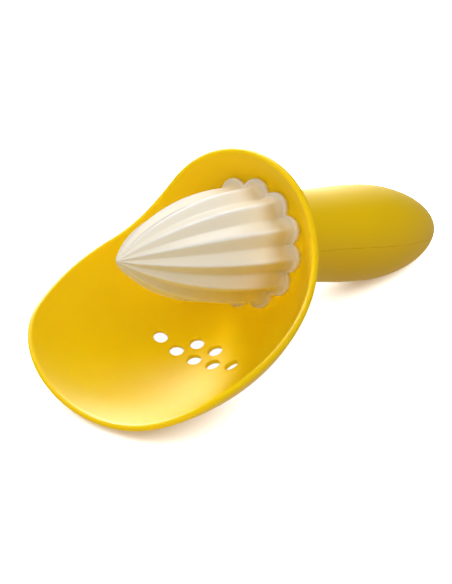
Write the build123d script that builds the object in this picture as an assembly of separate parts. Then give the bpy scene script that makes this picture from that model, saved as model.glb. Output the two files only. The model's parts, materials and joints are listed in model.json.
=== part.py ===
from build123d import *
from math import asin, atan2, cos, degrees, pi, radians, sin, sqrt, tan
import os

# Hand citrus reamer: a ribbed head in an open pip-catching bowl, on a hollow grip of two shells.
#
# Every piece is drawn on the head's own axis, the tool frame: z runs towards the tip, with 0 at the
# front of the petal flange, and x points to the top of the bowl. At the end the pieces are laid on
# the table together, with the grip towards +X and the table at z = 0.

# Driving dimensions, in millimetres and degrees

# Ribbed head
head_length = 63.8
head_radius = 19.1
head_wall = 2.0
rib_count = 12
rib_valley_share = 0.86
nose_roundness_share = 2.24
nose_taper_share = 0.842
flange_radius = 21.5
flange_valley_radius = 18.1
flange_thickness = 1.8
petal_band = 1.3
flare_height = 3.4
flare_rise_shares = (0, 0.3, 0.65, 1)
cone_rise_shares = (0, 0.12, 0.28, 0.44, 0.6, 0.74, 0.86, 0.95)
hollow_rise_shares = (0, 0.25, 0.5, 0.75, 1)
web_count = 6
web_thickness = 1.6

# Shank that keys the head into the grip
shank_radius = 8.0
guide_overlap = 1.5
key_length = 16.0
key_side_count = 6
key_step = 0.5
key_lead = 1.0
shank_bore_radius = 4.6

# Ring seal on the shank
seal_section = 2.0
seal_depth = 9.0
seal_clearance = 0.05
seal_groove_clearance = 0.15

# Bowl
bowl_radius = 51.5
bowl_wall = 2.2
bowl_floor = 3.0
lip_reach = 63.4
lip_corner_drop = 37.7
lip_corner_radius = 31.8
rim_corner_reach = 7.3
rim_corner_drop = 0.4
rim_corner_radius = 28.2
rim_lean_angle = 4.5
rim_round_share = 0.42
seat_clearance = 0.3

# Drain holes
drain_hole_radius = 2.38
drain_pitch = 7.55
front_drain_reach = 16.0
front_drain_count = 5
back_drain_reach = 10.8
back_drain_count = 2

# Bowl's neck and its joint with the grip
neck_length = 16.0
neck_wall = 2.4
collar_thickness = 3.0
lug_width = 4.0
lug_height = 1.8

# Grip
grip_radius = 16.65
grip_neck_radius = 15.5
grip_bend_depth = 25.0
grip_droop_angle = 2.5
grip_belly_reach = 39.4
grip_length = 84.2
grip_wall = 2.4
grip_shoulder_share = 0.45
grip_tail_share = 0.54
bulkhead_thickness = 4.0
rib_thickness = 2.4
tongue_height = 1.2
post_radius = 3.4
post_pin_radius = 1.7
post_pin_height = 4.0
post_reach_shares = (0.40, 0.66)

# Socket core in the grip
core_wall = 2.2
core_flange_thickness = 3.0
core_end_gap = 1.5

# Fits and cuts
slide_clearance = 0.08
assembly_clearance = 0.1
rest_land_depth = 0.3
cut_overrun = 5.0

# Sizes that follow from these

seat_radius = flange_radius + seat_clearance
seat_share = seat_radius / (bowl_radius - bowl_wall)
bowl_half_length = bowl_wall + (lip_reach + flange_thickness) / sqrt(1 - seat_share**2)
floor_back = -flange_thickness - bowl_floor
bulkhead_back = floor_back - bulkhead_thickness
neck_bore_radius = shank_radius + slide_clearance
neck_radius = neck_bore_radius + neck_wall
neck_end = floor_back - neck_length
collar_front = neck_end + collar_thickness
collar_radius = grip_neck_radius - grip_wall - assembly_clearance
guide_end = neck_end - guide_overlap
key_radius = shank_radius - key_step
key_end = guide_end - key_length
seal_inner_radius = neck_bore_radius - seal_clearance - seal_section
core_radius = key_radius + slide_clearance + core_wall
core_flange_back = neck_end - core_flange_thickness
core_rib_back = core_flange_back - assembly_clearance - rib_thickness
core_floor = key_end - core_end_gap
core_end = core_floor - core_wall
tool_span = bowl_radius + lip_reach + grip_length
outline_step_count = 100


def turned(*edges):
    """A solid of revolution about z, from the edges of a closed outline drawn in x and z."""
    return revolve(Plane.XZ * make_face(edges), Axis.Z)


def across(*edges):
    """A prism across the whole tool, from the edges of a closed outline drawn in x and z."""
    return extrude(Plane.XZ * make_face(edges), tool_span, both=True)


def rod(radius, low, high):
    """A round bar about z between two heights."""
    return Pos(0, 0, low) * Cylinder(radius, high - low, align=(Align.CENTER, Align.CENTER, Align.MIN))


def ring(inner, outer, low, high):
    """A plain ring about z between two heights."""
    return rod(outer, low, high) - rod(inner, low, high)


def lugs(radius, low, high, clearance):
    """A bar across the axis at the seam, whose two ends stand out of a round neck as lugs."""
    wide = lug_width + 2 * clearance
    long = 2 * (radius + lug_height + clearance)
    return Pos(0, 0, low) * Box(wide, long, high - low, align=(Align.CENTER, Align.CENTER, Align.MIN))


# Ribbed head


def crest_radius(height):
    """Radius of the rib crests at a height: a bullet nose that ends in a point."""
    rise = height / head_length
    return head_radius * (1 - rise**nose_roundness_share) ** nose_taper_share


def crest_height(radius):
    """Height at which the rib crests have a radius: the nose's formula turned round."""
    fall = (radius / head_radius) ** (1 / nose_taper_share)
    return head_length * (1 - fall) ** (1 / nose_roundness_share)


def polar(radius, angle):
    """A point in the plane across the axis, with the angle counted from the top of the bowl."""
    return Vector(radius * cos(angle), radius * sin(angle))


def rib_outline(height, crest, valley, swell):
    """One cross-section of the head. Each half rib runs from a crest to a valley: a straight flank at
    swell 0, half of a round petal at swell 1, and a flatter arc between these."""
    half_pitch = pi / rib_count
    centre = (crest**2 - valley**2) / (2 * (crest - valley * cos(half_pitch)))
    petal = crest - centre
    half_turn = atan2(valley * sin(half_pitch), valley * cos(half_pitch) - centre) / 2
    round_middle = Vector(centre + petal * cos(half_turn), petal * sin(half_turn))
    flat_middle = (polar(crest, 0) + polar(valley, half_pitch)) / 2
    middle = flat_middle + (round_middle - flat_middle) * swell
    spread = atan2(middle.Y, middle.X)
    edges = []
    for rib in range(rib_count):
        angle = 2 * half_pitch * rib
        for side in (-1, 1):
            ends = [polar(crest, angle), polar(valley, angle + side * half_pitch)]
            ends = ends[::side]
            if swell > 0:
                edges.append(ThreePointArc(ends[0], polar(middle.length, angle + side * spread), ends[1]))
            else:
                edges.append(Line(*ends))
    return Pos(0, 0, height) * make_face(edges)


def head_outside():
    """The petal flange, the flare at the ribs' foot and the ribbed cone, all solid. A flat band of the
    petals stays bare round the foot."""
    flange_face = rib_outline(-flange_thickness, flange_radius, flange_valley_radius, 1)
    flange = extrude(flange_face, flange_thickness)
    foot_crest = flange_radius - petal_band
    foot_valley = flange_valley_radius - petal_band
    flare = []
    for rise_share in flare_rise_shares:
        swell = (1 - rise_share) ** 2
        height = flare_height * rise_share
        crest = crest_radius(height)
        valley = crest * rib_valley_share
        wide_crest = crest + (foot_crest - crest) * swell
        wide_valley = valley + (foot_valley - valley) * swell
        flare.append(rib_outline(height, wide_crest, wide_valley, swell))
    cone = []
    for rise_share in cone_rise_shares:
        height = flare_height + (head_length - flare_height) * rise_share
        crest = crest_radius(height)
        cone.append(rib_outline(height, crest, crest * rib_valley_share, 0))
    cone.append(Vertex(0, 0, head_length))
    return flange + loft(flare) + loft(cone)


def head_hollow():
    """The space between the ribbed shell and the shank, open at the back of the flange."""
    low = -flange_thickness
    top = crest_height((shank_radius + 2 * head_wall) / rib_valley_share)
    wall = []
    for rise_share in hollow_rise_shares:
        height = top * rise_share
        wall.append((crest_radius(height) * rib_valley_share - head_wall, height))
    foot = (wall[0][0], low)
    inner_foot = (shank_radius, low)
    inner_top = (shank_radius, top)
    return turned(
        Line(inner_foot, foot),
        Line(foot, wall[0]),
        Spline(*wall),
        Line(wall[-1], inner_top),
        Line(inner_top, inner_foot),
    )


def key_prism(radius, low, high):
    """The key's many-sided bar, with two of its corners in the symmetry plane."""
    return Pos(0, 0, low) * extrude(RegularPolygon(radius, key_side_count), high - low)


def make_reamer_head():
    """Ribbed shell with its inner webs, guide shank, seal groove and key."""
    hollow = head_hollow()
    web = Box(2 * head_radius, web_thickness, 2 * head_length)
    shell = head_outside() - hollow
    for turn in range(web_count // 2):
        shell += Rot(0, 0, turn * 360 / web_count) * web & hollow
    guide = rod(shank_radius, guide_end, -flange_thickness)
    lead = Pos(0, 0, key_end) * Cone(
        key_radius - key_lead,
        key_radius - key_lead + key_length,
        key_length,
        align=(Align.CENTER, Align.CENTER, Align.MIN),
    )
    key = key_prism(key_radius, key_end, guide_end) & lead
    bore = rod(shank_bore_radius, key_end, head_length - head_radius - shank_radius)
    half_groove = seal_section / 2 + seal_groove_clearance
    groove = ring(
        seal_inner_radius - seal_clearance,
        shank_radius + cut_overrun,
        -seal_depth - half_groove,
        -seal_depth + half_groove,
    )
    return shell + guide + key - bore - groove


def make_shank_seal():
    """Ring of round section in the shank's groove, close to the neck's bore."""
    return Pos(0, 0, -seal_depth) * Torus(seal_inner_radius + seal_section / 2, seal_section / 2)


# Bowl


def back_radius(inset, height):
    """Radius at a height of the bowl's round back, a half ellipse turned about the axis, set in by inset."""
    along = (lip_reach - height) / (bowl_half_length - inset)
    return (bowl_radius - inset) * sqrt(1 - along**2)


def round_back(inset, low):
    """The bowl's half egg, solid, from a height up to its lip. The ellipse is drawn as a conic curve: its
    ends, the corner where its end tangents meet, and that corner's weight."""
    half_length = bowl_half_length - inset
    width = bowl_radius - inset
    sweep = asin((lip_reach - low) / half_length)
    start = (width * cos(sweep), low)
    corner = (width, lip_reach - half_length * tan(sweep / 2))
    end = (width, lip_reach)
    arc = Bezier(start, corner, end, weights=[1, cos(sweep / 2), 1])
    foot = (0, low)
    top = (0, lip_reach)
    return turned(Line(foot, start), arc, Line(end, top), Line(top, foot))


def below_rim():
    """Prism that keeps the bowl under its rim line: a leaning back rim, a round inner corner, a straight
    fall along the side, and a round outer corner down to the lip."""
    lean = (tool_span + rim_corner_drop) * tan(radians(rim_lean_angle))
    back = (tool_span, rim_corner_reach - lean)
    front = (-tool_span, lip_reach)
    rim = FilletPolyline(
        back,
        (-rim_corner_drop, rim_corner_reach),
        (-lip_corner_drop, lip_reach),
        front,
        radius=[rim_corner_radius, lip_corner_radius],
    )
    low_front = (-tool_span, -tool_span)
    low_back = (tool_span, -tool_span)
    return across(*rim.edges(), Line(front, low_front), Line(low_front, low_back), Line(low_back, back))


def rim_edges(bowl):
    """The edges where the rim's faces meet the bowl's inside and outside: each is on one rim face only."""
    rim_faces = [face for face in bowl.faces() if face.geom_type != GeomType.REVOLUTION and face.center().Z > 0]
    edges = [edge for face in rim_faces for edge in face.edges()]
    return [edge for edge in edges if edges.count(edge) == 1]


def drain_row(reach, count):
    """Drills for a row of holes, square to the bowl's wall and evenly spaced about the bottom."""
    radius = back_radius(bowl_wall, reach)
    outward = -radius / (bowl_radius - bowl_wall) ** 2
    backward = (reach - lip_reach) / (bowl_half_length - bowl_wall) ** 2
    aim = Pos(-radius, 0, reach) * Rot(0, degrees(atan2(outward, backward)), 0)
    drill = Cylinder(drain_hole_radius, 4 * bowl_wall)
    step = degrees(drain_pitch / radius)
    first = -step * (count - 1) / 2
    return [Rot(0, 0, first + step * number) * aim * drill for number in range(count)]


def make_catcher_bowl():
    """Thin round scoop with drain holes, a flat floor that seats the head, and the neck that the grip clamps."""
    wall = round_back(0, floor_back) - round_back(bowl_wall, -flange_thickness)
    bowl = wall & below_rim()
    bowl = fillet(rim_edges(bowl), bowl_wall * rim_round_share)
    bowl += rod(neck_radius, neck_end, floor_back)
    bowl += rod(collar_radius, neck_end, collar_front)
    bowl += lugs(neck_radius, bulkhead_back + assembly_clearance, floor_back, 0)
    bowl -= rod(neck_bore_radius, neck_end - cut_overrun, cut_overrun)
    drills = drain_row(front_drain_reach, front_drain_count) + drain_row(back_drain_reach, back_drain_count)
    for drill in drills:
        bowl -= drill
    return bowl


# Grip


def grip_frame():
    """The grip's own axis, which droops from the head's axis at the bend: z points to the tail, x up."""
    droop = radians(grip_droop_angle)
    return Plane(
        origin=(0, 0, -grip_bend_depth),
        x_dir=(cos(droop), 0, -sin(droop)),
        z_dir=(-sin(droop), 0, -cos(droop)),
    )


def grip_curves(inset):
    """The grip's outline behind the bend, set in by inset: a gentle swell, then a round tail."""
    neck = grip_neck_radius - inset
    belly = grip_radius - inset
    end = grip_length - inset
    start = grip_neck_radius * sin(radians(grip_droop_angle))
    middle = (start + grip_belly_reach) / 2
    shoulder = grip_belly_reach + (end - grip_belly_reach) * grip_shoulder_share
    swell = Bezier((neck, start), (neck, middle), (belly, middle), (belly, grip_belly_reach))
    tail = Bezier((belly, grip_belly_reach), (belly, shoulder), (belly * grip_tail_share, end), (0, end))
    return swell, tail


def behind_bend():
    """Prism behind the mitre plane that halves the grip's bend."""
    half_droop = radians(grip_droop_angle / 2)
    rise = tool_span * tan(half_droop)
    top = (tool_span, -grip_bend_depth - rise)
    bottom = (-tool_span, -grip_bend_depth + rise)
    far_top = (tool_span, -2 * tool_span)
    far_bottom = (-tool_span, -2 * tool_span)
    return across(Line(top, bottom), Line(bottom, far_bottom), Line(far_bottom, far_top), Line(far_top, top))


def grip_solid(inset, front):
    """The grip set in by inset: a straight neck from a height down to the bend, then the drooping body."""
    swell, tail = grip_curves(inset)
    neck = grip_neck_radius - inset
    lap = 2 * grip_neck_radius * sin(radians(grip_droop_angle))
    foot = (0, -lap)
    corner = (neck, -lap)
    body = turned(Line(foot, corner), Line(corner, swell @ 0), swell, tail, Line(tail @ 1, foot))
    straight = rod(neck, -grip_bend_depth - lap, front)
    return (straight - behind_bend()) + (grip_frame() * body & behind_bend())


def flare_solid():
    """The trumpet from the grip's neck to the bowl's back, which it meets at the same slope."""
    wide = back_radius(0, floor_back)
    slope = (bowl_radius / bowl_half_length) ** 2 * (lip_reach - floor_back) / wide
    turn = atan2(slope, 1)
    bend = (wide - grip_neck_radius) / (1 - cos(turn))
    low = floor_back - bend * sin(turn)
    start = (grip_neck_radius, low)
    middle = (grip_neck_radius + bend * (1 - cos(turn / 2)), low + bend * sin(turn / 2))
    end = (wide, floor_back)
    top = (0, floor_back)
    foot = (0, low)
    return turned(Line(foot, start), ThreePointArc(start, middle, end), Line(end, top), Line(top, foot))


def above_seam(lift):
    """Prism above the seam, which follows the grip's bent axis, raised by lift."""
    droop = radians(grip_droop_angle)
    tail_height = -grip_bend_depth - 2 * tool_span * cos(droop)
    front = (lift, tool_span)
    bend = (lift, -grip_bend_depth)
    tail = (lift - 2 * tool_span * sin(droop), tail_height)
    far_tail = (tool_span, tail_height)
    far_front = (tool_span, tool_span)
    return across(
        Line(front, bend),
        Line(bend, tail),
        Line(tail, far_tail),
        Line(far_tail, far_front),
        Line(far_front, front),
    )


def seam_band(outer_inset, inner_inset, height):
    """The strip of the grip's wall between two insets that stands over the seam."""
    band = grip_solid(outer_inset, bulkhead_back) - grip_solid(inner_inset, bulkhead_back)
    return band & above_seam(0) - above_seam(height)


def post(reach_share, radius, low, high):
    """A round post across the grip, between two heights over the seam."""
    bar = Cylinder(radius, high - low, align=(Align.CENTER, Align.CENTER, Align.MIN))
    return grip_frame() * (Pos(low, 0, grip_length * reach_share) * Rot(0, 90, 0) * bar)


def make_handle_shells():
    """Upper and lower shell: the hollow grip split along its seam, with the bulkhead and ribs that hold
    the bowl's neck and the core, a tongue and groove, and locating posts."""
    outside = grip_solid(0, floor_back) + flare_solid()
    neck_hold = neck_radius + assembly_clearance
    core_hold = core_radius + assembly_clearance
    collar_stop = collar_front + assembly_clearance
    core_stop = core_flange_back - assembly_clearance
    body = outside - grip_solid(grip_wall, bulkhead_back)
    body += ring(neck_hold, grip_neck_radius, collar_stop, collar_stop + rib_thickness) & outside
    body += ring(core_hold, grip_neck_radius, core_rib_back, core_stop) & outside
    body += ring(core_hold, grip_radius, core_end, core_end + rib_thickness) & outside
    body -= rod(neck_hold, bulkhead_back - cut_overrun, floor_back + cut_overrun)
    body -= lugs(neck_radius, bulkhead_back - cut_overrun, floor_back + cut_overrun, assembly_clearance)
    body -= lugs(core_radius, core_rib_back, core_stop, assembly_clearance)
    tongue_inset = grip_wall / 2
    groove_inset = tongue_inset - assembly_clearance
    groove_height = tongue_height + assembly_clearance
    upper = body & above_seam(0)
    lower = body - above_seam(0)
    upper -= seam_band(groove_inset, grip_wall + assembly_clearance, groove_height)
    lower += seam_band(tongue_inset, grip_wall, tongue_height)
    for reach_share in post_reach_shares:
        socket_depth = post_pin_height + assembly_clearance
        upper += post(reach_share, post_radius, 0, grip_radius) & outside
        upper -= post(reach_share, post_pin_radius + assembly_clearance, 0, socket_depth)
        lower += post(reach_share, post_radius, -grip_radius, 0) & outside
        lower += post(reach_share, post_pin_radius, -post_pin_radius, post_pin_height)
    return upper, lower


def make_handle_core():
    """Socket for the head's key: a flanged tube behind the bowl's neck, closed at its end."""
    core = rod(core_radius, core_end, neck_end) + rod(collar_radius, core_flange_back, neck_end)
    core += lugs(core_radius, core_rib_back + assembly_clearance, core_flange_back, 0)
    core -= rod(neck_bore_radius, guide_end - slide_clearance, neck_end)
    core -= key_prism(key_radius + slide_clearance, core_floor, guide_end)
    return core


# Laying the tool on the table


def lowest_of_bowl(tilt):
    """Height of the bowl's lowest point over the flange's centre, with the head's tip raised by tilt."""
    return lip_reach * sin(tilt) - sqrt((bowl_half_length * sin(tilt)) ** 2 + (bowl_radius * cos(tilt)) ** 2)


def lowest_of_grip(tilt):
    """The same for the grip's underside, on points along its outline."""
    frame = grip_frame()
    heights = []
    for curve in grip_curves(0):
        for step in range(outline_step_count + 1):
            place = curve @ (step / outline_step_count)
            point = frame.from_local_coords((-place.X, 0, place.Y))
            heights.append(point.Z * sin(tilt) + point.X * cos(tilt))
    return min(heights)


def resting_tilt():
    """The tilt at which bowl and grip touch the table together, found by halving."""
    low = 0
    high = pi / 4
    for _ in range(40):
        middle = (low + high) / 2
        if lowest_of_bowl(middle) < lowest_of_grip(middle):
            low = middle
        else:
            high = middle
    return low


def lay_down(pieces):
    """Moves every piece to the table frame: the origin under the middle of the whole tool's box, with a
    shallow flat land under the bowl and under the grip."""
    tilt = resting_tilt()
    lift = -lowest_of_bowl(tilt) - rest_land_depth
    turn = Plane((0, 0, lift), x_dir=(sin(tilt), 0, cos(tilt)), z_dir=(-cos(tilt), 0, sin(tilt)))
    turned_down = {name: turn.location * piece for name, piece in pieces.items()}
    boxes = [piece.bounding_box() for piece in turned_down.values()]
    middle = (min(box.min.X for box in boxes) + max(box.max.X for box in boxes)) / 2
    table = Box(4 * tool_span, 4 * tool_span, tool_span, align=(Align.CENTER, Align.CENTER, Align.MAX))
    return {name: Pos(-middle, 0, 0) * piece - table for name, piece in turned_down.items()}


def make_pieces():
    """All pieces by name, laid on the table."""
    upper, lower = make_handle_shells()
    pieces = {
        "reamer_head": make_reamer_head(),
        "shank_seal": make_shank_seal(),
        "catcher_bowl": make_catcher_bowl(),
        "handle_upper_shell": upper,
        "handle_lower_shell": lower,
        "handle_core": make_handle_core(),
    }
    return lay_down(pieces)


os.makedirs("parts", exist_ok=True)
for piece_name, piece in make_pieces().items():
    export_step(piece, f"parts/{piece_name}.step")
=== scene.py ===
import json
import math

import bmesh
import bpy
import numpy as np
from bpy.props import FloatProperty, FloatVectorProperty, IntProperty, PointerProperty
from mathutils import Matrix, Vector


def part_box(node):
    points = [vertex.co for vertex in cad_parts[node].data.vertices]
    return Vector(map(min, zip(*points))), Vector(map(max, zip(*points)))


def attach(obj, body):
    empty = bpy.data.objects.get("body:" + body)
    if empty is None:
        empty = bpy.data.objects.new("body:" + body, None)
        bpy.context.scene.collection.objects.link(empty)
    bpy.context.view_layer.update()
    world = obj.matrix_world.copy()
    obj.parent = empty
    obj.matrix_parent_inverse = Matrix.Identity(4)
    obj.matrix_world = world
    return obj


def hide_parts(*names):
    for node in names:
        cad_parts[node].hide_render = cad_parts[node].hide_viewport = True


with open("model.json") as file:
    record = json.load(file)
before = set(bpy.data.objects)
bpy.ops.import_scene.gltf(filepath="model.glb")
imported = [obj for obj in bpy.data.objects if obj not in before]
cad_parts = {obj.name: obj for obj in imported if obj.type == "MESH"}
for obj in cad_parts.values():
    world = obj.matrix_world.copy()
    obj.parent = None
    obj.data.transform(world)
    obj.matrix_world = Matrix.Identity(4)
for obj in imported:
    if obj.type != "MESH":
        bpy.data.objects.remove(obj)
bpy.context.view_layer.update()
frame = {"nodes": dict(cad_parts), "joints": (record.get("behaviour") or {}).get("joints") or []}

bl_info = {
    "name": "Citrus reamer dresser",
    "version": (1, 0, 0),
    "blender": (4, 5, 0),
    "location": "3D View > Sidebar > Reamer",
    "description": "Dresses a hand citrus reamer: head, catcher bowl, grip shells, finishes and studio",
    "category": "Object",
}

# Every piece is worked out in the tool frame and then laid on the table. In the tool frame x points
# to the top of the bowl, y across the tool, and z along the head's axis to its tip, with 0 at the
# front of the petal flange.

SEAL_DEPTH = 0.009
MERGE_DISTANCE = 0.000001
SMALLEST = 1e-9
ROUND_STEPS = 5


def read_tool_frame():
    """The head's axis and the flange's centre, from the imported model. The slide joint gives the
    axis, and the seal ring's middle lies on it, a known depth behind the flange's front."""
    axis = np.array(frame["joints"][0]["axis"], float)
    axis /= np.linalg.norm(axis)
    low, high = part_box("shank_seal")
    seal_middle = (np.array(low) + np.array(high)) / 2
    return axis, seal_middle + SEAL_DEPTH * axis


AXIS, FLANGE_CENTRE = read_tool_frame()
UPWARD = np.array([AXIS[2], 0.0, -AXIS[0]])
ACROSS = np.array([0.0, 1.0, 0.0])


# Sizes and colours that a user may change


def size_of(label, millimetres, description):
    """A length, written here in millimetres and kept in metres."""
    return FloatProperty(
        name=label,
        description=description,
        default=millimetres / 1000,
        min=0.0,
        precision=5,
        subtype="DISTANCE",
        unit="LENGTH",
    )


def share_of(label, value, description):
    """A plain ratio."""
    return FloatProperty(name=label, description=description, default=value, precision=4)


def count_of(label, value, least, description):
    """A whole number."""
    return IntProperty(name=label, description=description, default=value, min=least)


def angle_of(label, angle_degrees, description):
    """An angle, written here in degrees and kept in radians."""
    return FloatProperty(
        name=label,
        description=description,
        default=math.radians(angle_degrees),
        subtype="ANGLE",
        unit="ROTATION",
    )


def point_of(label, value, description):
    """A point in metres."""
    return FloatVectorProperty(
        name=label, description=description, default=value, size=3, subtype="TRANSLATION", unit="LENGTH"
    )


def colour_of(label, value, description):
    """A linear colour."""
    return FloatVectorProperty(
        name=label, description=description, default=value, size=3, min=0.0, max=1.0, subtype="COLOR"
    )


class HeadSizes(bpy.types.PropertyGroup):
    """Sizes of the ribbed head and its shank"""

    length: size_of("Length", 63.8, "Flange front to tip")
    crest_radius: size_of("Crest radius", 19.1, "Radius of the rib crests at the foot")
    valley_share: share_of("Valley share", 0.86, "Valley radius as a share of the crest radius")
    rib_count: count_of("Ribs", 12, 3, "Ribs round the head")
    roundness: share_of("Roundness", 2.24, "Power that sets how long the nose stays full")
    taper: share_of("Taper", 0.842, "Power that sets how blunt the tip is")
    # Painted highlight: width of the pale line painted along each rib crest
    crest_highlight_width: angle_of("Crest line", 2.2, "Turn over which a crest's pale line fades")
    crest_softness: angle_of("Crest softness", 1.5, "Turn over which a crest is rounded")
    valley_softness: angle_of("Valley softness", 1.1, "Turn over which a valley is rounded")
    petal_radius: size_of("Petal radius", 21.5, "Radius over the petals")
    petal_valley: size_of("Petal valley radius", 18.1, "Radius where two petals meet")
    petal_band: size_of("Petal band", 1.3, "Flat band of the petals that the ribs leave bare")
    flange_thickness: size_of("Flange thickness", 1.8, "Thickness of the petal flange")
    flange_round: size_of("Flange edge", 0.5, "Radius of the flange's edges")
    flare_height: size_of("Flare height", 3.4, "Height over which the ribs spread to the flange")
    wall: size_of("Wall", 2.0, "Wall of the ribbed shell")
    web_thickness: size_of("Web thickness", 1.6, "Thickness of the webs inside the shell")
    web_count: count_of("Webs", 6, 2, "Webs between shell and shank")
    shank_radius: size_of("Shank radius", 8.0, "Radius of the round shank")
    shank_depth: size_of("Shank depth", 22.3, "Flange front to the end of the round shank")
    groove_radius: size_of("Groove radius", 5.98, "Radius at the bottom of the seal's groove")
    groove_half: size_of("Groove half width", 1.15, "Half the width of the seal's groove")
    key_radius: size_of("Key radius", 7.5, "Radius to the key's corners")
    key_depth: size_of("Key depth", 38.3, "Flange front to the key's end")
    key_lead: size_of("Key lead", 1.0, "Chamfer at the key's end")
    key_sides: count_of("Key sides", 6, 3, "Flats round the key")
    bore_radius: size_of("Bore radius", 4.6, "Radius of the hollow in the shank")
    bore_top: size_of("Bore top", 36.7, "Height of the hollow's end over the flange front")


class BowlSizes(bpy.types.PropertyGroup):
    """Sizes of the catcher bowl"""

    radius: size_of("Radius", 51.5, "Outer radius of the round back at the lip's height")
    wall: size_of("Wall", 2.2, "Wall of the bowl")
    lip_reach: size_of("Lip reach", 63.4, "Flange front to the lip")
    lip_corner_drop: size_of("Lip corner drop", 37.7, "Depth of the rim's lower corner under the axis")
    lip_corner_radius: size_of("Lip corner radius", 31.8, "Radius of the rim's lower corner")
    rim_corner_reach: size_of("Rim corner reach", 7.3, "Flange front to the rim's upper corner")
    rim_corner_drop: size_of("Rim corner drop", 0.4, "Depth of the rim's upper corner under the axis")
    rim_corner_radius: size_of("Rim corner radius", 28.2, "Radius of the rim's upper corner")
    rim_lean: angle_of("Rim lean", 4.5, "Backward lean of the upper rim")
    seat_radius: size_of("Seat radius", 21.8, "Radius of the flat floor that seats the head")
    seat_depth: size_of("Seat depth", 1.8, "Depth of the flat floor behind the flange front")
    seat_ease: size_of("Seat ease", 1.3, "Run over which wall and flat floor are rounded together")
    floor_depth: size_of("Floor depth", 4.8, "Depth of the floor's back behind the flange front")
    bore_radius: size_of("Neck bore radius", 8.08, "Radius of the bore that takes the shank")
    neck_radius: size_of("Neck radius", 10.48, "Outer radius of the neck")
    neck_depth: size_of("Neck depth", 20.8, "Depth of the neck's end behind the flange front")
    collar_radius: size_of("Collar radius", 13.0, "Radius of the collar at the neck's end")
    collar_thickness: size_of("Collar thickness", 3.0, "Thickness of the collar")
    hole_radius: size_of("Drain hole radius", 2.38, "Radius of a drain hole")
    hole_round: size_of("Drain hole edge", 0.3, "Radius of a drain hole's edges")
    hole_recess: size_of("Drain recess", 0.6, "Depth of the recess under the holes")
    recess_ease: size_of("Recess ease", 10.0, "Run over which the recess fades out")
    hole_pitch: size_of("Drain hole pitch", 7.55, "Spacing of the holes along a row")
    front_reach: size_of("Front row reach", 16.0, "Height of the front row over the flange front")
    back_reach: size_of("Back row reach", 10.8, "Height of the back row over the flange front")
    front_count: count_of("Front holes", 5, 1, "Holes in the front row")
    back_count: count_of("Back holes", 2, 0, "Holes in the back row")


class GripSizes(bpy.types.PropertyGroup):
    """Sizes of the hollow grip"""

    radius: size_of("Belly radius", 16.65, "Radius at the grip's belly")
    neck_radius: size_of("Neck radius", 15.5, "Radius behind the flare")
    bend_depth: size_of("Bend depth", 25.0, "Depth of the bend behind the flange front")
    bend_length: size_of("Bend length", 4.0, "How softly the grip turns at its bend")
    droop: angle_of("Droop", 2.5, "Turn of the grip's axis at the bend")
    belly_reach: size_of("Belly reach", 39.4, "Bend to belly along the grip")
    length: size_of("Length", 84.2, "Bend to tail along the grip")
    wall: size_of("Wall", 2.4, "Wall of the shells")
    shoulder_share: share_of("Shoulder share", 0.45, "How far the belly's fullness reaches to the tail")
    tail_share: share_of("Tail share", 0.54, "Fullness of the tail")
    hold_radius: size_of("Hold radius", 10.58, "Radius of the hole that holds the bowl's neck")
    bulkhead_depth: size_of("Bulkhead depth", 8.8, "Depth of the bulkhead's back behind the flange front")
    seam_gap: size_of("Seam gap", 0.01, "Half the gap between the shells")
    seam_round: size_of("Lower seam edge", 0.24, "Radius of the lower shell's edge along the seam")
    seam_tuck: size_of("Upper seam edge", 0.05, "Radius of the upper shell's edge along the seam")


class Finishes(bpy.types.PropertyGroup):
    """Colours of the moulded pieces, in linear light"""

    cream: colour_of("Cream", (0.92, 0.845, 0.70), "Body of the ribbed head")
    cream_deep: colour_of("Deep cream", (0.90, 0.82, 0.665), "Clouding in the head's plastic")
    # Painted glow: a paler tint on the petals' thin edge, standing in for light that shows through the
    # thin plastic
    petal_edge_glow: colour_of("Petal edge", (0.93, 0.86, 0.77), "Thin edge of the petals")
    # Painted highlight: a thin pale line painted along the rib crests, where light catches them
    crest: colour_of("Crest", (0.97, 0.94, 0.89), "Thin pale line along the rib crests")
    bowl: colour_of("Bowl yellow", (0.94, 0.635, 0.001), "Body of the bowl")
    bowl_deep: colour_of("Deep bowl yellow", (0.92, 0.61, 0.001), "Clouding in the bowl's plastic")
    grip: colour_of("Grip yellow", (0.82, 0.54, 0.002), "Body of the grip")
    grip_deep: colour_of("Deep grip yellow", (0.80, 0.52, 0.002), "Clouding in the grip's plastic")
    core: colour_of("Core", (0.70, 0.68, 0.62), "Socket core inside the grip")
    seal: colour_of("Seal", (0.03, 0.03, 0.03), "Rubber ring on the shank")


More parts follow.
